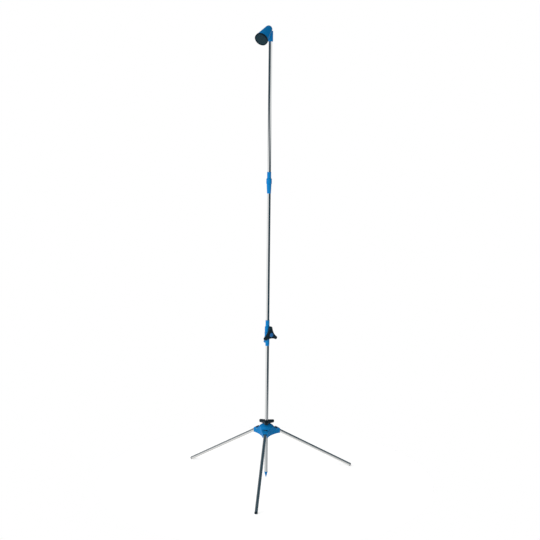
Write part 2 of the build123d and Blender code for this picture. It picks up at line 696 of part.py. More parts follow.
def hood_outside(grow):
    """Dome and cone about the tilt centre, with +Z towards the spray face."""
    angle = radians(hood_angle(grow))
    dome = DOME_R + grow
    join = (dome * cos(angle), 0, -dome * sin(angle))
    middle = (dome * sin(radians(45)), 0, -dome * cos(radians(45)))
    arc = ThreePointArc((0, 0, -dome), middle, join)
    side = Polyline(join, (HOOD_FRONT_R + grow, 0, HOOD_FRONT), (0, 0, HOOD_FRONT), (0, 0, -dome))
    return revolve(make_face(arc.edges() + side.edges()), Axis.Z)


def stem_angle():
    """Angle of the stem from the spray axis, towards the pole."""
    return 180 - STEM_DROP - HEAD_DROP


def at_stem(turn):
    """Swings a shape that points along -Z to this angle from the spray axis."""
    return Rot(turn - 180, 0, 0)


def stem_slot():
    """The fan that the stem sweeps through the hood as the head tilts."""
    half = STEM_R + STEM_SLOT
    far = 2 * DOME_R
    low = stem_angle() - TILT_DOWN
    high = stem_angle() + TILT_UP
    bar = Pos(0, 0, -far / 2) * Box(2 * half, 2 * half, far)
    corners = [(0, -far * sin(radians(turn)), far * cos(radians(turn))) for turn in (low, high)]
    fan = extrude(make_face(Polyline((0, 0, 0), corners[0], corners[1], close=True)), half, both=True)
    return at_stem(low) * bar + at_stem(high) * bar + fan


def head_hood():
    """Dome with the ball's socket, a threaded well, the cone and a front spigot."""
    shell = HOOD_SHELL / cos(radians(hood_angle(0)))
    rate = tan(radians(hood_angle(0)))
    back = HOOD_FRONT_R - (HOOD_FRONT - CHAMBER_AT) * rate - shell
    mouth = HOOD_FRONT + HOOD_SPIGOT
    body = hood_outside(0) + rod(HOOD_SPIGOT_R, HOOD_FRONT - 1, mouth)
    body -= turned([(0, CHAMBER_AT), (back, CHAMBER_AT), (HOOD_SPIGOT_BORE, HOOD_FRONT - 2),
                    (HOOD_SPIGOT_BORE, mouth + 1), (0, mouth + 1)])
    socket = BALL_R + BALL_GAP
    body -= Sphere(socket) + rod(socket, 0, RING_AT + 1) + rod(RING_R, RING_AT, CHAMBER_AT + 1)
    return in_head(body - stem_slot())


def ball_stem():
    """Hollow ball on a hollow stem, which is fixed in the holder."""
    turn = at_stem(stem_angle())
    body = Sphere(BALL_R) + turn * rod(STEM_R, -STEM_LENGTH, 0)
    body -= turn * rod(STEM_BORE, -STEM_LENGTH - 1, 0)
    return in_head(body - rod(STEM_BORE, 0, BALL_R + 1))


def ball_seat_ring():
    body = ring(RING_R - FIT, RING_BORE, RING_AT + FIT, RING_AT + RING_THICK) - Sphere(BALL_R + BALL_GAP)
    for side in (0, 180):
        body -= Rot(0, 0, side) * Pos(8, 0, RING_AT + RING_THICK) * Box(3, 2, 2)
    return in_head(body)


PLATE_AT = HOOD_FRONT + HOOD_SPIGOT + GASKET
BEZEL_END = PLATE_AT + PLATE_THICK + BEZEL_LIP


def plate_gasket():
    return in_head(ring(HOOD_SPIGOT_R, GASKET_IN, PLATE_AT - GASKET, PLATE_AT))


def spray_plate():
    """Perforated disc, lightly crowned, with its nozzles in rings."""
    front = PLATE_AT + PLATE_THICK
    body = turned([(0, PLATE_AT), (HOOD_SPIGOT_R, PLATE_AT), (HOOD_SPIGOT_R, front), (BEZEL_LIP_R - 1, front),
                   (BEZEL_LIP_R / 2, front + PLATE_CROWN * 0.75), (0, front + PLATE_CROWN)])
    hole = rod(NOZZLE_R, PLATE_AT - 1, front + PLATE_CROWN + 1)
    body -= hole
    for ring_number in range(1, NOZZLE_RINGS + 1):
        count = 6 * ring_number
        ridge = (ring_number - 0.5) * NOZZLE_STEP
        rise = front + PLATE_CROWN * (1 - (ridge / BEZEL_LIP_R) ** 2) + RIDGE_RISE
        body += ring(ridge + RIDGE_HALF, ridge - RIDGE_HALF, front - RIDGE_RISE, rise)
        for k in range(count):
            body -= Rot(0, 0, k * 360.0 / count) * Pos(ring_number * NOZZLE_STEP, 0, 0) * hole
    return in_head(body)


def head_bezel():
    """Screw ring round the spray plate."""
    inner = HOOD_SPIGOT_R + FIT
    body = ring(BEZEL_R, inner, HOOD_FRONT, BEZEL_END - BEZEL_LIP) + ring(
        BEZEL_R, BEZEL_LIP_R, BEZEL_END - BEZEL_LIP, BEZEL_END)
    rims = body.edges().filter_by(GeomType.CIRCLE).filter_by(lambda e: abs(e.radius - BEZEL_R) < 0.01)
    return in_head(fillet(rims.sort_by(Axis.Z)[-1], BEZEL_ROUND))


def head_holder():
    """Barrel on the upper tube, cradled out at the front for the tilting hood."""
    low = UPPER_TOP_Z - HOLDER_DEPTH
    body = rod(HOLDER_R, low, UPPER_TOP_Z + HOLDER_TOP)
    rims = body.edges().filter_by(GeomType.CIRCLE).sort_by(Axis.Z)
    body = fillet(rims[-1], HOLDER_ROUND)
    body -= rod(POLE_R + FIT, low - 1, UPPER_TOP_Z)
    body -= rod(HOLDER_PASSAGE_R, UPPER_TOP_Z - 1, UPPER_TOP_Z + HOLDER_PASSAGE)
    groove = low + HOLDER_DEPTH / 3
    body -= ring(POLE_R + 2 * ORING_R + 2 * FIT, 0.5, groove - ORING_R - FIT, groove + ORING_R + FIT)
    swept = hood_outside(CRADLE_GAP)
    for tilt in (0, TILT_DOWN / 2, TILT_DOWN):
        body -= in_head(Rot(tilt, 0, 0) * swept)
    return body - in_head(at_stem(stem_angle()) * rod(STEM_R + FIT, -STEM_LENGTH - 0.5, 0))


def holder_seal():
    return seal(POLE_R, UPPER_TOP_Z - HOLDER_DEPTH * 2 / 3)


# Each piece goes to its own file

keep("hub_body", hub_body())
keep("hub_pins", hub_pins())
for leg in range(LEG_COUNT):
    place = leg_plane(leg).location
    keep(f"leg_tube_{leg + 1}", place * leg_tube())
    keep(f"leg_hinge_plug_{leg + 1}", place * hinge_plug())
    keep(f"foot_plug_{leg + 1}", foot_plug(leg))
keep("clamp_collet", clamp_collet())
keep("clamp_knob", clamp_knob())
keep("ground_spike", ground_spike())
keep("lower_tube", pole_tube(LOWER_Z, LOWER_LENGTH))
keep("valve_body", valve_body())
keep("valve_seat", valve_seat())
keep("valve_bonnet", valve_bonnet())
keep("spindle_seal", spindle_seal())
keep("hose_nipple", hose_nipple())
keep("nipple_seal", nipple_seal())
keep("valve_piston", valve_piston())
keep("piston_washer", piston_washer())
keep("valve_spindle", valve_spindle())
keep("valve_knob", valve_knob())
keep("knob_screw", knob_screw())
keep("knob_cap", knob_cap())
keep("lower_union_seal", union_seal(VALVE_FLANGE_Z))
keep("lower_grip_ring", grip_ring(VALVE_FLANGE_Z))
keep("lower_union_nut", union_nut(VALVE_FLANGE_Z))
keep("middle_tube", pole_tube(MIDDLE_Z, MIDDLE_LENGTH))
keep("coupling_body", coupling_body())
keep("upper_union_seal", union_seal(COUPLING_FLANGE_Z))
keep("upper_grip_ring", grip_ring(COUPLING_FLANGE_Z))
keep("upper_union_nut", union_nut(COUPLING_FLANGE_Z))
keep("upper_tube", pole_tube(UPPER_Z, UPPER_LENGTH))
keep("head_holder", head_holder())
keep("holder_seal", holder_seal())
keep("ball_stem", ball_stem())
keep("ball_seat_ring", ball_seat_ring())
keep("head_hood", head_hood())
keep("plate_gasket", plate_gasket())
keep("spray_plate", spray_plate())
keep("head_bezel", head_bezel())
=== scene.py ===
"""Free-standing outdoor shower: its surfaces and finishes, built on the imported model.

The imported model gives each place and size. Every operator makes one group of pieces, which
stand for the model's nodes and move with its bodies. Metres, +Z up, and the front is -Y.
"""

import json
import math

import bmesh
import bpy
import numpy as np
from mathutils import Matrix, Vector


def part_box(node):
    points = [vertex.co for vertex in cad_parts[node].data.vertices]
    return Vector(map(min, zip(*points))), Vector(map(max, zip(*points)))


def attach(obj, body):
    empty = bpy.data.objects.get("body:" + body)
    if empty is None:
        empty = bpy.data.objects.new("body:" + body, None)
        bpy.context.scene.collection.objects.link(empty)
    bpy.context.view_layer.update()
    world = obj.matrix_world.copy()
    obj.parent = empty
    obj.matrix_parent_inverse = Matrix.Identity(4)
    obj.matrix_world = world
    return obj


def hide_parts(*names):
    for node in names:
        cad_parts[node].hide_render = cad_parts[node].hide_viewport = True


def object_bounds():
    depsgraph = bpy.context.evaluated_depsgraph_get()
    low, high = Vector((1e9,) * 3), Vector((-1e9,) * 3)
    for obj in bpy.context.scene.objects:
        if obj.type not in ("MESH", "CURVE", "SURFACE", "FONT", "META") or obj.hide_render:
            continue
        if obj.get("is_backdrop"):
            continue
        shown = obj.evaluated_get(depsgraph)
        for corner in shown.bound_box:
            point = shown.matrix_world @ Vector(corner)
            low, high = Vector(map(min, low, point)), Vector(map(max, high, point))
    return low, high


bl_info = {
    "name": "Outdoor shower",
    "version": (1, 0, 0),
    "blender": (4, 5, 0),
    "location": "View3D > Sidebar > Shower",
    "description": "Surfaces and finishes of a free-standing outdoor shower",
    "category": "Add Mesh",
}

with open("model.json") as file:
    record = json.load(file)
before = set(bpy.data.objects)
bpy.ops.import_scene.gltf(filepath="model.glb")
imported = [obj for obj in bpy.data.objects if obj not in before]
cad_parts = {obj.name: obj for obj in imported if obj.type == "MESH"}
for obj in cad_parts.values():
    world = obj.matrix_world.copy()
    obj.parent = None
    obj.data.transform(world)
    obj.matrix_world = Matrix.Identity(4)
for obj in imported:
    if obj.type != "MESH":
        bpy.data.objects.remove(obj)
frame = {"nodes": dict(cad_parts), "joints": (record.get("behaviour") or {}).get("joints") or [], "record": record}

MM = 0.001
UP = np.array([0.0, 0.0, 1.0])
FIT = 0.02 * MM       # between pieces that stay together
SHARP = 32            # degrees: a sharper edge than this isn't shaded smooth
ROUND_COLUMNS = 72    # quads round a turned piece
FINE_COLUMNS = 144    # and round a wide one
SMALL_COLUMNS = 32    # and round a pin
TINY_COLUMNS = 14     # and round a nozzle
KNOB_FACE = 10 * MM   # width of a knob's face between its bore and its rounded rim
BODIES = frame["record"]["behaviour"]["bodies"]
BODY_OF = {node: body for body, nodes in BODIES.items() for node in nodes}
SLOT_OF = {part["node"]: part["material_slot"] for part in frame["record"]["subparts"]}


# Reading the frame

def unit(vector):
    return np.asarray(vector, float) / np.linalg.norm(vector)


def joint(name):
    return next(j for j in frame["joints"] if j["name"] == name)


def corners(node):
    """The distinct vertices of a node of the model."""
    mesh = frame["nodes"][node].data
    points = np.empty(3 * len(mesh.vertices), np.float32)
    mesh.vertices.foreach_get("co", points)
    return np.unique(points.reshape(-1, 3).round(6), axis=0).astype(float)


def own_axis(node, towards):
    """Axis of a turned node: the direction in which its vertices spread unlike the other two."""
    spread, directions = np.linalg.eigh(np.cov(corners(node).T))
    odd = 2 if spread[2] - spread[1] > spread[1] - spread[0] else 0
    axis = directions[:, odd]
    return axis * np.sign(axis @ np.asarray(towards, float))


class Place:
    """A right-handed frame: its origin, and rows X, Y and Z with Z along a piece's own axis."""

    def __init__(self, origin, z, x):
        z = unit(z)
        y = unit(np.cross(z, x))
        self.origin = np.asarray(origin, float)
        self.rows = np.array([np.cross(y, z), y, z])

    def out(self, points):
        """From this frame to the object's."""
        return self.origin + points @ self.rows

    def into(self, points):
        """From the object's frame to this one."""
        return (points - self.origin) @ self.rows.T


def leg_place(number):
    """Origin on the leg's pivot, X along its pin and Z down the tube."""
    fold = joint(f"leg_{number}_fold")
    return Place(fold["pos_m"], own_axis(f"leg_tube_{number}", -UP), fold["axis"])


POLE = Place((0, 0, 0), UP, (1, 0, 0))
VALVE = Place(joint("valve_turn")["pos_m"], joint("valve_turn")["axis"], UP)
INLET = Place(corners("hose_nipple").mean(axis=0), own_axis("hose_nipple", -UP), (1, 0, 0))
HEAD = Place(joint("head_tilt")["pos_m"], own_axis("head_bezel", -UP), joint("head_tilt")["axis"])
LEG_NUMBERS = (1, 2, 3)


class Span:
    """Lowest and highest point of a node along a place's Z, and its least and greatest radius."""

    def __init__(self, node, place):
        local = place.into(corners(node))
        radius = np.hypot(local[:, 0], local[:, 1])
        self.low, self.high = local[:, 2].min(), local[:, 2].max()
        self.inner, self.outer = radius.min(), radius.max()


def pin_radius():
    low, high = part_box("hub_pins")
    return (high.z - low.z) / 2


def lobe_turn(node, place):
    """Direction of a lobe about the place's Z: the phase of the third harmonic of the outline."""
    local = place.into(corners(node))
    flat = local[:, 0] + 1j * local[:, 1]
    return np.angle((flat ** 3 * abs(flat)).sum()) / 3


# Surfaces

def rounded(outline, closed=True, steps=5):
    """An outline of (radius, height, round) with an arc in place of each corner.

    The arc has the third number as its radius. It leaves each side at that radius divided by
    the tangent of half the corner's angle, and at most at 0.45 of the shorter side.
    """
    outline = np.asarray(outline, float)
    point = outline[:, :2]
    back = np.roll(point, 1, axis=0) - point
    ahead = np.roll(point, -1, axis=0) - point
    back_length = np.linalg.norm(back, axis=1)
    ahead_length = np.linalg.norm(ahead, axis=1)
    back = back / back_length[:, None]
    ahead = ahead / ahead_length[:, None]
    half = np.arccos(np.clip((back * ahead).sum(axis=1), -1, 1)) / 2
    reach = np.minimum(outline[:, 2] / np.tan(half), 0.45 * np.minimum(back_length, ahead_length))
    radius = reach * np.tan(half)
    middle = (back + ahead) / np.maximum(2 * np.cos(half), 1e-9)[:, None]
    side = (ahead - back) / np.maximum(2 * np.sin(half), 1e-9)[:, None]
    centre = point + middle * (reach / np.maximum(np.cos(half), 1e-9))[:, None]
    sweep = np.linspace(-1, 1, steps) * (math.pi / 2 - half)[:, None]
    arc = centre[:, None] + radius[:, None, None] * (
        np.sin(sweep)[..., None] * side[:, None] - np.cos(sweep)[..., None] * middle[:, None])
    arc[outline[:, 2] == 0] = point[outline[:, 2] == 0][:, None]
    path = arc.reshape(-1, 2)
    if not closed:
        path = np.vstack([point[:1], path[steps:-steps], point[-1:]])
    moved = np.linalg.norm(path - np.roll(path, 1, axis=0), axis=1) > 1e-7
    return path[moved]


def turned(path, columns):
    """A turned surface: a point (r, z) of the path goes to (r cos t, r sin t, z)."""
    turn = np.linspace(0, 2 * math.pi, columns, endpoint=False)
    radius, height = path[:, 0, None], path[:, 1, None]
    return np.stack([radius * np.cos(turn), radius * np.sin(turn), height + 0 * turn], axis=-1)


def mesh_of(name, grids, place, loop=True, sharp=SHARP):
    """One mesh from grids of points, each closed across its columns.

    Where loop is true the last row also joins the first. Points that coincide are merged, so a
    row that shrinks to a point becomes a fan. The attribute own keeps a vertex's place in the
    piece's own frame, for patterns that follow the piece.
    """
    points, quads, start = [], [], 0
    for grid in grids:
        rows, columns = grid.shape[:2]
        index = start + np.arange(rows * columns).reshape(rows, columns)
        index = np.vstack([index, index[:1]]) if loop else index
        index = np.hstack([index, index[:, :1]])
        quads.append(np.stack([index[:-1, :-1], index[:-1, 1:], index[1:, 1:], index[1:, :-1]],
                              axis=-1).reshape(-1, 4))
        points.append(grid.reshape(-1, 3))
        start += rows * columns
    points = np.vstack(points)
    mesh = bpy.data.meshes.new(name)
    mesh.from_pydata(place.out(points), [], np.vstack(quads))
    own = mesh.attributes.new("own", "FLOAT_VECTOR", "POINT")
    own.data.foreach_set("vector", points.astype(np.float32).ravel())
    return smoothed(mesh, sharp, outward=True)


def smoothed(mesh, sharp, outward=False):
    """Merges coincident vertices, and shades smooth across edges less sharp than the angle."""
    work = bmesh.new()
    work.from_mesh(mesh)
    bmesh.ops.remove_doubles(work, verts=work.verts, dist=1e-6)
    if outward:
        bmesh.ops.recalc_face_normals(work, faces=work.faces)
    work.to_mesh(mesh)
    work.free()
    mesh.shade_smooth()
    mesh.set_sharp_from_angle(angle=math.radians(sharp))
    return mesh


def drilled(mesh, cutter):
    """The mesh with the space of the cutter's closed shells taken away."""
    blank = bpy.data.objects.new("blank", mesh)
    drill = bpy.data.objects.new("drill", cutter)
    for made in (blank, drill):
        bpy.context.scene.collection.objects.link(made)
    cut = blank.modifiers.new("holes", "BOOLEAN")
    cut.operation = "DIFFERENCE"
    cut.object = drill
    bpy.context.view_layer.update()
    cut_blank = blank.evaluated_get(bpy.context.evaluated_depsgraph_get())
    whole = bpy.data.meshes.new_from_object(cut_blank)
    for made in (blank, drill):
        bpy.data.objects.remove(made)
    return smoothed(whole, SHARP)


def rod(radius, low, high, columns):
    """A closed cylinder's surface."""
    return turned(np.array([(0, low), (radius, low), (radius, high), (0, high)]), columns)


def piece(name, mesh, *nodes, like=None):
    """An object for a mesh. It stands for the nodes, or goes with the node that it is like.

    A vertex's normal follows its largest faces, so that a long or flat face stays straight in
    its reflections up to the rounds at its ends.
    """
    made = bpy.data.objects.new(name, mesh)
    even = made.modifiers.new("even_normals", "WEIGHTED_NORMAL")
    even.mode = "FACE_AREA"
    even.keep_sharp = True
    bpy.context.scene.collection.objects.link(made)
    guide = nodes[0] if nodes else like
    mesh.materials.clear()
    mesh.materials.append(finish(SLOT_OF[guide]))
    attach(made, BODY_OF[guide])
    if nodes:
        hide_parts(*nodes)
    return made


def smooth_copies(*nodes):
    """Copies of nodes whose shape is right, with their facets merged and shaded smooth."""
    for node in nodes:
        mesh = smoothed(frame["nodes"][node].data.copy(), SHARP)
        piece(f"{node}_skin", mesh, node)


def lathed(name, outline, place, node, columns=ROUND_COLUMNS):
    """A piece turned from a closed outline of (radius, height, round)."""
    return piece(name, mesh_of(name, [turned(rounded(outline), columns)], place), node)


def thread(name, core, rise, pitch, low, turns, place, like):
    """A screw thread: a ridge wound round a core, which runs out to nothing at both ends.

    Its section is a low trapezium in shares of the pitch and the rise. Its foot lies under the
    core's surface, and its middle climbs by one pitch for each turn.
    """
    steps_per_turn, run_out = 48, 0.2
    foot, crest, sunk, root = 0.42, 0.1, 0.2, -0.3
    step = np.linspace(0, turns, int(steps_per_turn * turns) + 1)[:, None]
    size = np.clip(np.minimum(step, turns - step) / run_out, 0, 1)
    section = np.array([(-foot, root), (-foot, 0.0), (-crest, 1.0), (crest, 1.0), (foot, 0.0), (foot, root)])
    radius = core - sunk * rise + size * rise * section[:, 1]
    height = low + pitch * (step + size * section[:, 0])
    turn = 2 * math.pi * step + 0 * radius
    grid = np.stack([radius * np.cos(turn), radius * np.sin(turn), height], axis=-1)
    return piece(name, mesh_of(name, [grid], place, loop=False), like=like)


# Three-lobed knobs

def lobed_curve(reach, lobe, waist, steps=20):
    """Three round lobes and the hollow flanks that run tangent into them, once round.

    A lobe is an arc of the lobe's radius about a centre that lies that radius inside the reach.
    A flank is an arc about a centre outside, on the line between two lobes, that touches both
    lobes and passes the waist. Returns the points and their outward normals.
    """
    at = reach - lobe
    gap = math.pi / 3
    flank = (at ** 2 - 2 * at * waist * math.cos(gap) + waist ** 2 - lobe ** 2) / (
        2 * (lobe - waist + at * math.cos(gap)))
    middle = (flank + waist) * np.exp(1j * gap)
    lean = np.angle(middle - at)
    round_turn = np.linspace(-lean, lean, steps, endpoint=False)
    hollow_turn = np.linspace(math.pi + lean, 5 * math.pi / 3 - lean, steps, endpoint=False)
    points = np.concatenate([at + lobe * np.exp(1j * round_turn),
                             middle + flank * np.exp(1j * hollow_turn)])
    normals = np.concatenate([np.exp(1j * round_turn), -np.exp(1j * hollow_turn)])
    thirds = np.exp(2j * math.pi * np.arange(3) / 3)[:, None]
    return (thirds * points).ravel(), (thirds * normals).ravel()


def knob_grid(section, reach, bore, sizes, turn):
    """A knob's surface from a closed section of (distance, height, round).

    Distances up to the bore are radii. The next ones, as far as the face's width, go in even
    shares from the bore's circle to the outline moved inwards by the knob's round, and the last
    ones bring it out to the outline itself. The face sinks towards the tips by the droop.
    """
    inset, face = sizes.knob_round, KNOB_FACE
    curve, normal = lobed_curve(reach, sizes.lobe, sizes.waist)
    path = rounded(section)
    distance, height = path[:, 0, None], path[:, 1, None]
    inner = curve - normal * inset
    circle = inner / abs(inner)
    share = np.clip((distance - bore) / face, 0, 1)
    edge = np.clip(distance - bore - face, 0, inset)
    flat = np.where(distance <= bore, distance * circle,
                    (1 - share) * bore * circle + share * (inner + edge * normal))
    flat = flat * np.exp(1j * turn)
    middle = (height.min() + height.max()) / 2
    upper = np.clip((height - middle) / (height.max() - middle), 0, 1)
    height = height - upper * sizes.knob_droop * (abs(flat) / reach) ** 2
    return np.stack([flat.real, flat.imag, height], axis=-1)


def lobed_knob(node, place, inside, bore, sizes):
    """A knob from its section inside the bore, to which the back, the rim and the face are added."""
    knob = Span(node, place)
    rim = bore + KNOB_FACE + sizes.knob_round
    section = [*inside, (bore, knob.low, 0.6 * MM), (bore + KNOB_FACE / 2, knob.low, 0),
               (rim, knob.low, sizes.knob_round), (rim, knob.high, sizes.knob_round)]
    section += [(bore + share * KNOB_FACE, knob.high, 0) for share in (0.75, 0.5, 0.25, 0)]
    grid = knob_grid(section, knob.outer, bore, sizes, lobe_turn(node, place))
    piece(f"{node}_grip", mesh_of(f"{node}_grip", [grid], place), node)


# Finishes

def wired(tree, kind, settings=(), **inputs):
    """Adds a shader node. An input is a socket to link, or a plain value."""
    made = tree.nodes.new(kind)
    for key, value in dict(settings).items():
        setattr(made, key, value)
    for key, value in inputs.items():
        socket = made.inputs[int(key[1:])] if key[0] == "n" and key[1:].isdigit() else made.inputs[key]
        if isinstance(value, bpy.types.NodeSocket):
            tree.links.new(value, socket)
        else:
            socket.default_value = value
    return made


def start_finish(name, **skin):
    """A material with its principled shader set to plain values."""
    material = bpy.data.materials.new(name)
    material.use_nodes = True
    tree = material.node_tree
    shader = tree.nodes["Principled BSDF"]
    for key, value in skin.items():
        shader.inputs[key.replace("_", " ")].default_value = value
    return material, tree, shader


def noise(tree, vector, scale, detail=3.0, roughness=0.55):
    made = wired(tree, "ShaderNodeTexNoise", Vector=vector, Scale=scale, Detail=detail,
                 Roughness=roughness)
    return made.outputs["Fac"]


def object_place(tree):
    return wired(tree, "ShaderNodeTexCoord").outputs["Object"]


def spread(tree, value, low, high, clip=(0.3, 0.7)):
    """Maps a noise's usual range to two limits."""
    made = wired(tree, "ShaderNodeMapRange", Value=value, n1=clip[0], n2=clip[1], n3=low, n4=high)
    return made.outputs["Result"]


def mixed(tree, share, one, other):
    """A mix of two colours or colour sockets, all of the other where the share is 1."""
    made = wired(tree, "ShaderNodeMix", {"data_type": "RGBA"}, n0=share, n6=one, n7=other)
    return made.outputs[2]


def tinted(tree, value, dark, light):
    """A colour between two, by a value from 0 to 1."""
    return mixed(tree, value, (*dark, 1), (*light, 1))


def shaded(colour, factor):
    return tuple(min(1.0, c * factor) for c in colour)


def bumped(tree, shader, height, strength, distance):
    made = wired(tree, "ShaderNodeBump", Height=height, Strength=strength, Distance=distance)
    tree.links.new(made.outputs["Normal"], shader.inputs["Normal"])


def moulding(name, colour, roughness, grain, grain_scale, mottle=0.1, gloss=0.3):
    """Moulded plastic: cloudy flow marks in its colour, scuffs in its gloss and a fine grain."""
    material, tree, shader = start_finish(name, Specular_IOR_Level=gloss)
    where = object_place(tree)
    cloud = spread(tree, noise(tree, where, 34.0, detail=4.0), 0.0, 1.0)
    tree.links.new(tinted(tree, cloud, shaded(colour, 1 - mottle), shaded(colour, 1 + mottle)),
                   shader.inputs["Base Color"])
    scuff = noise(tree, where, 210.0, detail=6.0, roughness=0.7)
    tree.links.new(spread(tree, scuff, roughness * 0.85, roughness * 1.25), shader.inputs["Roughness"])
    bumped(tree, shader, noise(tree, where, grain_scale, detail=2.0), grain, distance=0.4 * MM)
    return material


def blue_plastic(colours):
    return moulding("blue_moulding", colours.blue, roughness=0.33, grain=0.10, grain_scale=2600.0,
                    mottle=0.05, gloss=0.05)


def blue_cap(colours):
    return moulding("blue_button", colours.cap, roughness=0.28, grain=0.06, grain_scale=3000.0,
                    mottle=0.05)


def black_plastic(colours):
    return moulding("black_moulding", colours.black, roughness=0.36, grain=0.30, grain_scale=1700.0,
                    mottle=0.18, gloss=0.15)


def dark_plate(colours):
    """Spray plate: smooth dark plastic with dried water spots."""
    material, tree, shader = start_finish("spray_plate_finish", Specular_IOR_Level=0.08)
    where = object_place(tree)
    spots = spread(tree, noise(tree, where, 420.0, detail=2.0), 0.0, 1.0, clip=(0.58, 0.72))
    tree.links.new(tinted(tree, spots, colours.plate, shaded(colours.plate, 1.5)),
                   shader.inputs["Base Color"])
    dulled = spread(tree, noise(tree, where, 90.0, detail=4.0), 0.24, 0.36)
    tree.links.new(dulled, shader.inputs["Roughness"])
    return material


def chrome_tube(colours):
    """Chromed tube: faint drawing lines along it, and smears that dull its gloss here and there."""
    material, tree, shader = start_finish("bright_chrome", Metallic=1.0)
    own = wired(tree, "ShaderNodeAttribute", {"attribute_name": "own"}).outputs["Vector"]
    drawn = wired(tree, "ShaderNodeMapping", Vector=own, Scale=(1.0, 1.0, 0.012)).outputs["Vector"]
    lines = noise(tree, drawn, 2400.0)
    wiped = wired(tree, "ShaderNodeMapping", Vector=own, Scale=(1.0, 1.0, 0.2)).outputs["Vector"]
    smear = noise(tree, wiped, 70.0, detail=5.0, roughness=0.65)
    tree.links.new(tinted(tree, spread(tree, smear, 0.0, 1.0), shaded(colours.chrome, 0.94), colours.chrome),
                   shader.inputs["Base Color"])
    tree.links.new(spread(tree, smear, 0.04, 0.09, clip=(0.35, 0.75)), shader.inputs["Roughness"])
    bumped(tree, shader, lines, strength=0.02, distance=0.1 * MM)
    return material


def steel_pin(colours):
    """Plain steel: fine turning marks and a dull gloss."""
    material, tree, shader = start_finish("plain_steel", Metallic=1.0)
    where = object_place(tree)
    marks = noise(tree, where, 900.0, detail=5.0, roughness=0.7)
    tree.links.new(tinted(tree, spread(tree, marks, 0.0, 1.0), shaded(colours.steel, 0.8), colours.steel),
                   shader.inputs["Base Color"])
    tree.links.new(spread(tree, marks, 0.22, 0.4), shader.inputs["Roughness"])
    return material


def brass(colours):
    """Turned brass, darker where it has tarnished."""
    material, tree, shader = start_finish("turned_brass", Metallic=1.0)
    where = object_place(tree)
    tarnish = spread(tree, noise(tree, where, 260.0, detail=5.0, roughness=0.65), 0.0, 1.0)
    tree.links.new(tinted(tree, tarnish, shaded(colours.brass, 0.62), colours.brass),
                   shader.inputs["Base Color"])
    tree.links.new(spread(tree, tarnish, 0.4, 0.2, clip=(0.0, 1.0)), shader.inputs["Roughness"])
    return material


def grey_acetal(colours):
    return moulding("natural_acetal", colours.acetal, roughness=0.38, grain=0.08, grain_scale=2200.0,
                    mottle=0.04)


def seal_rubber(colours):
    return moulding("black_rubber", colours.rubber, roughness=0.62, grain=0.35, grain_scale=3200.0,
                    mottle=0.2)


FINISHES = {
    "blue_plastic": blue_plastic,
    "blue_cap": blue_cap,
    "black_plastic": black_plastic,
    "dark_plate": dark_plate,
    "grey_acetal": grey_acetal,
    "seal_rubber": seal_rubber,
    "chrome_tube": chrome_tube,
    "steel_pin": steel_pin,
    "brass": brass,
}
made_finishes = {}


def finish(slot):
    """The finish of a material slot, made when it is first asked for."""
    if slot not in made_finishes:
        made_finishes[slot] = FINISHES[slot](bpy.context.scene.shower_colours)
    return made_finishes[slot]


# What a user would change

def length(name, description, millimetres):
    return bpy.props.FloatProperty(name=name, description=description, default=millimetres * MM,
                                   min=0.0, subtype="DISTANCE", unit="LENGTH")


def colour(name, description, default):
    return bpy.props.FloatVectorProperty(name=name, description=description, default=default, size=3,
                                         min=0.0, max=1.0, subtype="COLOR")


class ShowerSizes(bpy.types.PropertyGroup):
    """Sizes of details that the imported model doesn't hold."""

    rim: length("Tube rim", "Round on the cut ends of the tubes", 0.25)
    lobe: length("Lobe radius", "Radius of a knob's lobes", 7.3)
    waist: length("Knob waist", "Least radius of a knob's outline", 17.0)
    knob_round: length("Knob round", "Round on a knob's outer edges", 4.2)
    knob_droop: length("Knob crown", "How far a knob's face sinks from its middle to the tips", 1.6)
    flute: length("Flute depth", "Depth of the grip flutes on the union nuts", 0.7)
    flutes: bpy.props.IntProperty(name="Flutes", description="Grip flutes round a union nut",
                                  default=16, min=3)
    pitch: length("Union pitch", "Pitch of the union threads", 1.6)
    neck_pitch: length("Neck pitch", "Pitch of the clamp's thread", 2.5)
    nub: length("Nozzle height", "Height of a spray nozzle above the plate", 0.8)
    ridge: length("Ridge height", "Height of the rings on the spray plate", 0.6)


class ShowerColours(bpy.types.PropertyGroup):
    """Base colours of the finishes."""

    blue: colour("Blue", "Blue mouldings", (0.003, 0.148, 0.385))
    cap: colour("Button", "Button in the valve knob", (0.010, 0.105, 0.300))
    black: colour("Black", "Black mouldings", (0.003, 0.014, 0.023))
    plate: colour("Spray plate", "Spray plate", (0.007, 0.024, 0.034))
    acetal: colour("Acetal", "Grey valve parts", (0.42, 0.43, 0.43))
    rubber: colour("Rubber", "Seals", (0.012, 0.012, 0.013))
    chrome: colour("Chrome", "Chromed tubes", (0.79, 0.80, 0.80))
    steel: colour("Steel", "Pins and screw", (0.56, 0.57, 0.58))
    brass: colour("Brass", "Valve seat and spindle", (0.72, 0.53, 0.24))


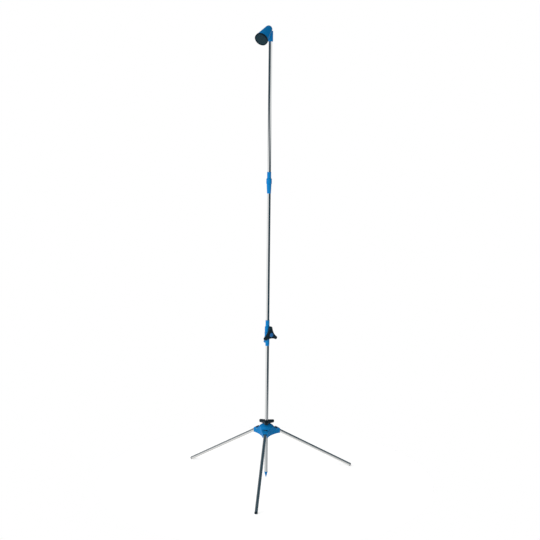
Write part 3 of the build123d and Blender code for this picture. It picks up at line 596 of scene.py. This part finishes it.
class ShowerStage(bpy.types.PropertyGroup):
    """Camera, floor and light."""

    eye: bpy.props.FloatVectorProperty(name="Camera", description="Where the camera stands",
                                       default=(0.0086, -5.0, 1.839), subtype="TRANSLATION", unit="LENGTH")
    pitch: bpy.props.FloatProperty(name="Pitch", description="How far the camera looks down",
                                   default=math.radians(9.61), subtype="ANGLE", unit="ROTATION")
    roll: bpy.props.FloatProperty(name="Roll", description="Turn of the camera about its view",
                                  default=math.radians(0.63), subtype="ANGLE", unit="ROTATION")
    lens: bpy.props.FloatProperty(name="Lens", description="Focal length for a 36 mm sensor",
                                  default=74.27, unit="CAMERA")
    floor: bpy.props.FloatProperty(name="Floor", description="Radius of the floor", default=0.78,
                                   unit="LENGTH")
    glow: bpy.props.FloatProperty(name="Floor glow", description="Light that the lit-through floor gives",
                                  default=0.45)
    key: bpy.props.FloatProperty(name="Key light", description="Power of the soft light at the left",
                                 default=44.0, unit="POWER")
    fill: bpy.props.FloatProperty(name="Fill", description="Mean brightness of the surroundings",
                                  default=0.97)
    lean: bpy.props.FloatProperty(name="Lean", description="How much brighter they are towards the left, "
                                  "the front and below", default=0.85)


# Pieces

class ShowerOperator(bpy.types.Operator):
    """Base of the operators, which only says how they can be undone."""

    bl_options = {"REGISTER", "UNDO"}


class SHOWER_OT_pole(ShowerOperator):
    """Make the three chromed pole tubes and the ground spike"""

    bl_idname = "shower.pole"
    bl_label = "Pole"

    def execute(self, context):
        rim = context.scene.shower_sizes.rim
        for node in ("lower_tube", "middle_tube", "upper_tube"):
            tube = Span(node, POLE)
            lathed(f"{node}_chrome", [(tube.outer, tube.low, rim), (tube.outer, tube.high, rim),
                                      (tube.inner, tube.high, rim), (tube.inner, tube.low, rim)], POLE, node)
        self.spike()
        return {"FINISHED"}

    def spike(self):
        """Pointed plug: a cone with a rounded tip below, and a hollow plug inside the tube."""
        spike = Span("ground_spike", POLE)
        tube = Span("lower_tube", POLE)
        wall = tube.outer - tube.inner
        plug = tube.inner - FIT
        hollow = plug - 2 * wall
        tip = 0.9 * MM
        outline = [(tip, spike.low, 0.6 * MM), (tube.outer, tube.low - MM, 0.4 * MM),
                   (tube.outer, tube.low, 0.2 * MM), (plug, tube.low, 0), (plug, spike.high, 0.3 * MM),
                   (hollow, spike.high, 0.3 * MM), (hollow, tube.low, 0.5 * MM), (0, tube.low, 0),
                   (0, spike.low, 0)]
        lathed("ground_spike_point", outline, POLE, "ground_spike")


class SHOWER_OT_legs(ShowerOperator):
    """Make the three chromed legs with their plugs"""

    bl_idname = "shower.legs"
    bl_label = "Legs"

    def execute(self, context):
        rim = context.scene.shower_sizes.rim
        wall = MM
        hole = pin_radius() + 0.1 * MM
        for number in LEG_NUMBERS:
            place = leg_place(number)
            node = f"leg_tube_{number}"
            tube = Span(node, place)
            outer = tube.outer
            bore = outer - wall
            outline = [(outer, tube.low, rim), (outer, tube.high, rim),
                       (bore, tube.high, rim), (bore, tube.low, rim)]
            mesh = mesh_of(f"leg_{number}_chrome", [turned(rounded(outline), ROUND_COLUMNS)], place)
            across = rod(hole, -2 * outer, 2 * outer, SMALL_COLUMNS)[..., ::-1]
            drill = mesh_of("pin_hole", [across], place, loop=False)
            piece(f"leg_{number}_chrome", drilled(mesh, drill), node)
            smooth_copies(f"leg_hinge_plug_{number}", f"foot_plug_{number}")
        return {"FINISHED"}


class SHOWER_OT_hub(ShowerOperator):
    """Make the hub, its pins and the thread under the clamp knob"""

    bl_idname = "shower.hub"
    bl_label = "Hub"

    def execute(self, context):
        sizes = context.scene.shower_sizes
        smooth_copies("hub_body")
        self.pins()
        neck = Span("clamp_collet", POLE)
        knob = Span("clamp_knob", POLE)
        core = neck.outer - 0.1 * MM
        rise = 0.35 * MM
        start = knob.low - 1.2 * MM
        turns = (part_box("hub_body")[1].z - knob.low) / sizes.neck_pitch - 0.6
        thread("neck_thread", core, rise, sizes.neck_pitch, start, turns, POLE, "hub_body")
        return {"FINISHED"}

    def pins(self):
        """A pin with rounded ends lies along each pivot's axis."""
        radius = pin_radius()
        points = corners("hub_pins")
        grids = []
        for number in LEG_NUMBERS:
            fold = joint(f"leg_{number}_fold")
            place = Place(fold["pos_m"], fold["axis"], UP)
            local = place.into(points)
            half = local[np.hypot(local[:, 0], local[:, 1]) < 1.1 * radius][:, 2].max()
            outline = [(0, -half, 0), (radius, -half, 0.4 * MM), (radius, half, 0.4 * MM), (0, half, 0)]
            grids.append(place.out(turned(rounded(outline, closed=False), SMALL_COLUMNS)))
        piece("pivot_pins", mesh_of("pivot_pins", grids, POLE, loop=False), "hub_pins")


class SHOWER_OT_clamp(ShowerOperator):
    """Make the pole clamp: the split collet and the three-lobed knob"""

    bl_idname = "shower.clamp"
    bl_label = "Pole clamp"

    def execute(self, context):
        smooth_copies("clamp_collet")
        knob = Span("clamp_knob", POLE)
        neck = 13.3 * MM
        roof = knob.high - 4.4 * MM
        inside = [(knob.inner, knob.high, 0.8 * MM), (knob.inner, roof, 0.3 * MM), (neck, roof, 0.3 * MM)]
        lobed_knob("clamp_knob", POLE, inside, neck, context.scene.shower_sizes)
        return {"FINISHED"}


class SHOWER_OT_valve(ShowerOperator):
    """Make the valve with its knob, button, inner pieces and hose inlet"""

    bl_idname = "shower.valve"
    bl_label = "Valve"

    def execute(self, context):
        smooth_copies("valve_body", "valve_seat", "valve_bonnet", "spindle_seal", "valve_piston",
                      "piston_washer", "valve_spindle", "knob_screw", "nipple_seal")
        self.knob(context.scene.shower_sizes)
        self.button()
        self.nipple()
        return {"FINISHED"}

    def knob(self, sizes):
        """The lobed knob, with a pocket for the button in front and a recess over the boss behind."""
        knob = Span("valve_knob", VALVE)
        cap = Span("knob_cap", VALVE)
        spindle = Span("valve_spindle", VALVE)
        recess = 10.4 * MM
        web = knob.low + 6.5 * MM
        pocket = cap.outer + 2 * FIT
        bore = 3 * MM + FIT
        hole = 1.4 * MM + FIT
        inside = [(pocket, knob.high, 0.5 * MM), (pocket, cap.low, 0.2 * MM), (hole, cap.low, 0),
                  (hole, spindle.high, 0), (bore, spindle.high, 0), (bore, web, 0),
                  (recess, web, 0.3 * MM)]
        lobed_knob("valve_knob", VALVE, inside, recess, sizes)

    def button(self):
        """A domed disc on a short skirt, with a shallow ring groove near its edge."""
        cap = Span("knob_cap", VALVE)
        skirt = cap.low + 1.5 * MM
        face = skirt + 2.0 * MM
        r = cap.outer
        inner = r - 1.5 * MM
        outline = [(0, skirt, 0), (inner, skirt, 0.2 * MM), (inner, cap.low, 0.2 * MM),
                   (r, cap.low, 0.2 * MM), (r, face, 0.6 * MM), (r - 1.6 * MM, face + 0.35 * MM, 0.3 * MM),
                   (r - 2.0 * MM, face + 0.1 * MM, 0.2 * MM), (r - 2.5 * MM, face + 0.42 * MM, 0.3 * MM),
                   (0.4 * r, face + 0.75 * MM, 3 * MM), (0, cap.high, 0)]
        lathed("valve_button", outline, VALVE, "knob_cap")

    def nipple(self):
        """Push-on inlet: flange, shank, latch collar, sealing groove and a chamfered tip."""
        nipple = Span("hose_nipple", INLET)
        seal = Span("nipple_seal", INLET)
        groove = (seal.low + seal.high) / 2
        groove_low, groove_high = groove - 1.2 * MM, groove + 1.2 * MM
        r = nipple.outer
        screw, shank, land, groove_r = 5.6 * MM, 6.4 * MM, 6.9 * MM, 5.4 * MM
        chamfer = 1.6 * MM
        thread_end = nipple.low + 7 * MM
        flange = thread_end + 3 * MM
        latch = thread_end + 7 * MM
        outline = [(nipple.inner, nipple.low, 0.2 * MM), (screw, nipple.low, 0.4 * MM),
                   (screw, thread_end, 0), (r, thread_end, 0.4 * MM), (r, flange, 0.4 * MM),
                   (shank, flange + MM, 0.6 * MM), (shank, latch, 0.3 * MM), (r, latch, 0.3 * MM),
                   (r, latch + 2 * MM, 0.4 * MM), (land, latch + 4 * MM, 0.4 * MM),
                   (land, groove_low, 0.2 * MM), (groove_r, groove_low, 0.2 * MM),
                   (groove_r, groove_high, 0.2 * MM), (land, groove_high, 0.2 * MM),
                   (land, nipple.high - chamfer, 0.6 * MM), (land - chamfer, nipple.high, 0.4 * MM),
                   (nipple.inner, nipple.high, 0.4 * MM)]
        lathed("inlet_nipple", outline, INLET, "hose_nipple")


class SHOWER_OT_unions(ShowerOperator):
    """Make the two screwed unions and the coupling"""

    bl_idname = "shower.unions"
    bl_label = "Unions"

    def execute(self, context):
        smooth_copies("lower_union_seal", "lower_grip_ring", "coupling_body", "upper_union_seal",
                      "upper_grip_ring")
        self.nut("lower", "valve_body", context.scene.shower_sizes)
        self.nut("upper", "coupling_body", context.scene.shower_sizes)
        return {"FINISHED"}

    def nut(self, which, spigot_node, sizes):
        """A union nut, and the thread that shows below it on the spigot of another node.

        The nut is turned, and the radius of its bulge falls by the flute's depth times a
        narrow cosine of the angle, which fades out at the bulge's ends.
        """
        node = f"{which}_union_nut"
        nut = Span(node, POLE)
        low, top, bulge = nut.low, nut.high, nut.outer
        shoulder = low + 21 * MM
        neck, mouth, socket, spigot = 9.2 * MM, 9.0 * MM, 10.8 * MM, 10.3 * MM
        cone = low + 13 * MM
        tip = cone + 7.4 * MM
        columns_per_flute = 12
        rows = [(bulge, z, 0) for z in np.linspace(low + 2 * MM, shoulder - 2 * MM, 12)]
        outline = [(nut.inner, top, 0.3 * MM), (nut.inner, tip, 0), (mouth, tip, 0), (socket, cone, 0),
                   (socket, low, 0.3 * MM), (bulge, low, 0.8 * MM), *rows, (bulge, shoulder, 1.2 * MM),
                   (neck, shoulder + 5 * MM, 2.5 * MM), (neck, top, 0.5 * MM)]
        grid = turned(rounded(outline), columns_per_flute * sizes.flutes)
        angle = np.arctan2(grid[..., 1], grid[..., 0])
        radius = np.hypot(grid[..., 0], grid[..., 1])
        height = grid[..., 2]
        plain, run = 1.6 * MM, 1.5 * MM
        fade = np.clip(np.minimum(height - low - plain, shoulder - plain - height) / run, 0, 1)
        fade = fade * fade * (3 - 2 * fade) * (radius > socket + MM)
        wave = (0.5 + 0.5 * np.cos(sizes.flutes * angle)) ** 3
        grid[..., :2] *= (1 - sizes.flute * fade * wave / radius)[..., None]
        piece(f"{which}_nut_grip", mesh_of(f"{which}_nut_grip", [grid], POLE), node)
        rise, start, turns = 0.5 * MM, low - 1.8 * MM, 6.5
        thread(f"{which}_spigot_thread", spigot, rise, sizes.pitch, start, turns, POLE, spigot_node)


class SHOWER_OT_head(ShowerOperator):
    """Make the shower head with its holder, ball joint, bezel and nozzles"""

    bl_idname = "shower.head"
    bl_label = "Shower head"

    plate_thickness = 2 * MM

    def execute(self, context):
        smooth_copies("head_holder", "holder_seal", "ball_stem", "ball_seat_ring", "head_hood",
                      "plate_gasket")
        self.bezel()
        self.plate(context.scene.shower_sizes)
        return {"FINISHED"}

    def bezel(self):
        """Screw ring: a rounded band with a lip over the spray plate's edge."""
        bezel = Span("head_bezel", HEAD)
        plate = Span("spray_plate", HEAD)
        seat = Span("plate_gasket", HEAD).high + self.plate_thickness
        inner = plate.outer + FIT
        outline = [(inner, bezel.low, 0.3 * MM), (bezel.outer, bezel.low, 0.6 * MM),
                   (bezel.outer, bezel.high, 1.8 * MM), (bezel.inner, bezel.high, 0.8 * MM),
                   (bezel.inner, seat, 0.2 * MM), (inner, seat, 0)]
        lathed("head_bezel_ring", outline, HEAD, "head_bezel", columns=FINE_COLUMNS)

    def plate(self, sizes):
        """Crowned plate with ring-shaped ridges, and a sleeve round each of its drilled holes.

        The height of its front is the crown times one less the squared share of the radius,
        plus a smooth bump on each ridge's circle. The holes lie one in the middle, and six times
        n on ring n.
        """
        plate = Span("spray_plate", HEAD)
        back = Span("plate_gasket", HEAD).high
        front = back + self.plate_thickness
        crown, step, half_ridge = MM, 6.5 * MM, 0.7 * MM
        radius = np.linspace(0, plate.outer, 260)
        ridges = (np.arange(4) + 0.5) * step
        off = np.clip(abs(radius[:, None] - ridges) / half_ridge, 0, 1)
        bumps = sizes.ridge * ((1 - off * off) ** 2).sum(axis=1)
        height = front + crown * (1 - (radius / plate.outer) ** 2) + bumps
        path = np.vstack([np.column_stack([radius, height]), (plate.outer, back), (0, back)])
        disc = mesh_of("spray_plate_disc", [turned(path, FINE_COLUMNS)], HEAD, loop=False, sharp=50)

        spots = [np.zeros((1, 3))]
        for ring in (1, 2, 3):
            turn = np.arange(6 * ring) * math.pi / (3 * ring)
            out = ring * step
            spots.append(np.stack([out * np.cos(turn), out * np.sin(turn), 0 * turn], axis=-1))
        spots = np.vstack(spots)
        spots[:, 2] = front + crown * (1 - (spots[:, 0] ** 2 + spots[:, 1] ** 2) / plate.outer ** 2)
        bore, foot, top, sunk = 0.55 * MM, 1.35 * MM, 0.95 * MM, -0.6 * MM
        hole = rod(bore, -4 * MM, 2 * MM, TINY_COLUMNS)
        drill = mesh_of("nozzle_holes", [hole + spot for spot in spots], HEAD, loop=False)
        piece("spray_plate_disc", drilled(disc, drill), "spray_plate")

        outline = rounded([(bore, sunk, 0), (foot, sunk, 0), (foot, 0.15 * MM, 0.1 * MM),
                           (top, sizes.nub, 0.25 * MM), (bore, sizes.nub, 0.15 * MM)], steps=3)
        sleeve = turned(outline, TINY_COLUMNS)
        sleeves = mesh_of("spray_nozzles", [sleeve + spot for spot in spots], HEAD)
        piece("spray_nozzles", sleeves, like="plate_gasket")


class SHOWER_OT_stage(ShowerOperator):
    """Set the floor, the surroundings, the light and the camera"""

    bl_idname = "shower.stage"
    bl_label = "Stage"

    def execute(self, context):
        stage = context.scene.shower_stage
        self.floor(stage)
        self.surroundings(context.scene, stage)
        self.light("key_light", where=(-3.0, -2.0, 1.4), size=(1.4, 2.4), power=stage.key)
        self.camera(context.scene, stage)
        context.scene.view_settings.view_transform = "Standard"
        return {"FINISHED"}

    def floor(self, stage):
        """A flat round slab whose top is at zero height."""
        base = -6 * MM
        outline = [(0, 0, 0), (stage.floor, 0, 2 * MM), (stage.floor, base, 0), (0, base, 0)]
        mesh = mesh_of("floor", [turned(rounded(outline, closed=False), 128)], POLE, loop=False)
        material, tree, shader = start_finish("pale_floor", Roughness=0.9, Specular_IOR_Level=0.0,
                                              Emission_Color=(1, 1, 1, 1), Emission_Strength=stage.glow)
        where = object_place(tree)
        tree.links.new(tinted(tree, noise(tree, where, 9.0), (0.92, 0.92, 0.92), (0.95, 0.95, 0.95)),
                       shader.inputs["Base Color"])
        mesh.materials.append(material)
        made = bpy.data.objects.new("floor", mesh)
        made.visible_glossy = False
        bpy.context.scene.collection.objects.link(made)
        made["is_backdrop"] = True

    def surroundings(self, scene, stage):
        """White behind the object, a soft light that leans to one side, and a studio to mirror.

        What is mirrored is a function of the direction. Its azimuth from the front picks a grey
        from one ramp below the horizon, from another just above it and from a third higher up.
        It turns to the ground's grey further down, and to a dark ceiling near the ceiling's
        direction.
        """
        world = bpy.data.worlds.new("studio")
        world.use_nodes = True
        scene.world = world
        tree = world.node_tree
        tree.nodes.clear()
        path = wired(tree, "ShaderNodeLightPath")
        direction = wired(tree, "ShaderNodeTexCoord").outputs["Generated"]
        split = wired(tree, "ShaderNodeSeparateXYZ", Vector=direction)
        front = wired(tree, "ShaderNodeMath", {"operation": "MULTIPLY"}, n0=split.outputs["Y"], n1=-1.0)
        azimuth = wired(tree, "ShaderNodeMath", {"operation": "ARCTAN2"}, n0=split.outputs["X"],
                        n1=front.outputs[0])
        along = wired(tree, "ShaderNodeMapRange", Value=azimuth.outputs[0], n1=-math.pi, n2=math.pi)
        below = self.ramp(tree, along.outputs[0], ((-180, 0.80), (-150, 0.95), (-17, 0.97), (-8, 0.03),
                                                   (162, 0.03), (180, 0.60)))
        above = self.ramp(tree, along.outputs[0], ((-180, 0.33), (-150, 0.20), (-130, 0.05), (18, 0.05),
                                                   (34, 0.97), (180, 0.85)))
        high = self.ramp(tree, along.outputs[0], ((-180, 0.30), (-140, 0.40), (-110, 0.30), (-90, 0.08),
                                                  (-60, 0.03), (140, 0.03), (180, 0.30)))
        ground = self.ramp(tree, along.outputs[0], ((-180, 0.70), (-40, 0.80), (-10, 0.55), (60, 0.48),
                                                    (120, 0.66), (180, 0.70)))
        level = self.ranged(tree, split.outputs["Z"], -0.085, -0.015)
        rise = self.ranged(tree, split.outputs["Z"], 0.055, 0.10)
        stripes = mixed(tree, level, below, mixed(tree, rise, above, high))
        depth = self.ranged(tree, split.outputs["Z"], -0.25, -0.33)
        foot = self.ranged(tree, split.outputs["Z"], -0.36, -0.60)
        near_ground, dark_ceiling = (0.84, 0.83, 0.81, 1), (0.05, 0.085, 0.11, 1)
        lower = mixed(tree, depth, stripes, mixed(tree, foot, ground, near_ground))
        overhead = self.towards(tree, direction, (0.3, 0.2, 0.93))
        ceiling = self.ranged(tree, overhead, 0.38, 0.52)
        studio = mixed(tree, ceiling, lower, dark_ceiling)
        lean = self.towards(tree, direction, (-0.6, -0.5, -0.6))
        soft = wired(tree, "ShaderNodeMath", {"operation": "MULTIPLY_ADD"}, n0=lean, n1=stage.lean,
                     n2=stage.fill)
        mirrored = wired(tree, "ShaderNodeBackground", Color=studio, Strength=1.0)
        even = wired(tree, "ShaderNodeBackground", Color=(1, 1, 1, 1), Strength=soft.outputs[0])
        white = wired(tree, "ShaderNodeBackground", Color=(1, 1, 1, 1), Strength=1.0)
        lit = wired(tree, "ShaderNodeMixShader", n0=path.outputs["Is Glossy Ray"], n1=even.outputs[0],
                    n2=mirrored.outputs[0])
        seen = wired(tree, "ShaderNodeMixShader", n0=path.outputs["Is Camera Ray"], n1=lit.outputs[0],
                     n2=white.outputs[0])
        wired(tree, "ShaderNodeOutputWorld", Surface=seen.outputs[0])

    def ranged(self, tree, value, low, high):
        """A smooth step of the value, from 0 at the low limit to 1 at the high one."""
        made = wired(tree, "ShaderNodeMapRange", {"interpolation_type": "SMOOTHSTEP"}, Value=value,
                     n1=low, n2=high)
        return made.outputs[0]

    def towards(self, tree, direction, aim):
        """Cosine of the angle between a direction and an aim."""
        made = wired(tree, "ShaderNodeVectorMath", {"operation": "DOT_PRODUCT"}, n0=direction,
                     n1=unit(aim))
        return made.outputs["Value"]

    def ramp(self, tree, value, stops):
        """A ramp over the azimuth, from stops of (degrees from the front, brightness).

        White is neutral, and the darker a stop is, the more it leans towards the shadow's blue.
        """
        black = (0.0, 0.03, 0.05)
        made = wired(tree, "ShaderNodeValToRGB", Fac=value)
        marks = made.color_ramp.elements
        while len(marks) < len(stops):
            marks.new(0.5)
        for mark, (degrees, grey) in zip(marks, stops):
            mark.position = (degrees + 180) / 360
            mark.color = tuple(shadow + (1 - shadow) * grey for shadow in black) + (1,)
        return made.outputs["Color"]

    def light(self, name, where, size, power):
        """A soft rectangular light aimed at the middle of the object."""
        data = bpy.data.lights.new(name, "AREA")
        data.shape = "RECTANGLE"
        data.size, data.size_y = size
        data.energy = power
        made = bpy.data.objects.new(name, data)
        made.location = where
        low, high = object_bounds()
        made.rotation_euler = ((low + high) / 2 - made.location).to_track_quat("-Z", "Y").to_euler()
        made.visible_glossy = False
        bpy.context.scene.collection.objects.link(made)

    def camera(self, scene, stage):
        """The photograph's camera."""
        data = bpy.data.cameras.new("camera")
        data.lens = stage.lens
        made = bpy.data.objects.new("camera", data)
        turn = Matrix.Rotation(math.pi / 2 - stage.pitch, 3, "X") @ Matrix.Rotation(stage.roll, 3, "Z")
        made.matrix_world = Matrix.Translation(Vector(stage.eye)) @ turn.to_4x4()
        scene.collection.objects.link(made)
        scene.camera = made


OPERATORS = (SHOWER_OT_pole, SHOWER_OT_legs, SHOWER_OT_hub, SHOWER_OT_clamp, SHOWER_OT_valve,
             SHOWER_OT_unions, SHOWER_OT_head, SHOWER_OT_stage)
GROUPS = {"shower_sizes": ShowerSizes, "shower_colours": ShowerColours, "shower_stage": ShowerStage}


class SHOWER_PT_panel(bpy.types.Panel):
    """The shower's groups of pieces, and their sizes and colours"""

    bl_idname = "SHOWER_PT_panel"
    bl_label = "Outdoor shower"
    bl_space_type = "VIEW_3D"
    bl_region_type = "UI"
    bl_category = "Shower"

    def draw(self, context):
        for operator in OPERATORS:
            self.layout.operator(operator.bl_idname)
        for name, group in GROUPS.items():
            box = self.layout.box()
            for key in group.__annotations__:
                box.prop(getattr(context.scene, name), key)


def register():
    for group in GROUPS.values():
        bpy.utils.register_class(group)
    for operator in OPERATORS:
        bpy.utils.register_class(operator)
    bpy.utils.register_class(SHOWER_PT_panel)
    for name, group in GROUPS.items():
        setattr(bpy.types.Scene, name, bpy.props.PointerProperty(type=group))


def unregister():
    for name in GROUPS:
        delattr(bpy.types.Scene, name)
    for kind in (SHOWER_PT_panel, *OPERATORS, *GROUPS.values()):
        bpy.utils.unregister_class(kind)


def main():
    """Makes every group of pieces in order."""
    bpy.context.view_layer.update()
    register()
    bpy.ops.shower.pole()
    bpy.ops.shower.legs()
    bpy.ops.shower.hub()
    bpy.ops.shower.clamp()
    bpy.ops.shower.valve()
    bpy.ops.shower.unions()
    bpy.ops.shower.head()
    bpy.ops.shower.stage()


if __name__ == "__main__":
    main()
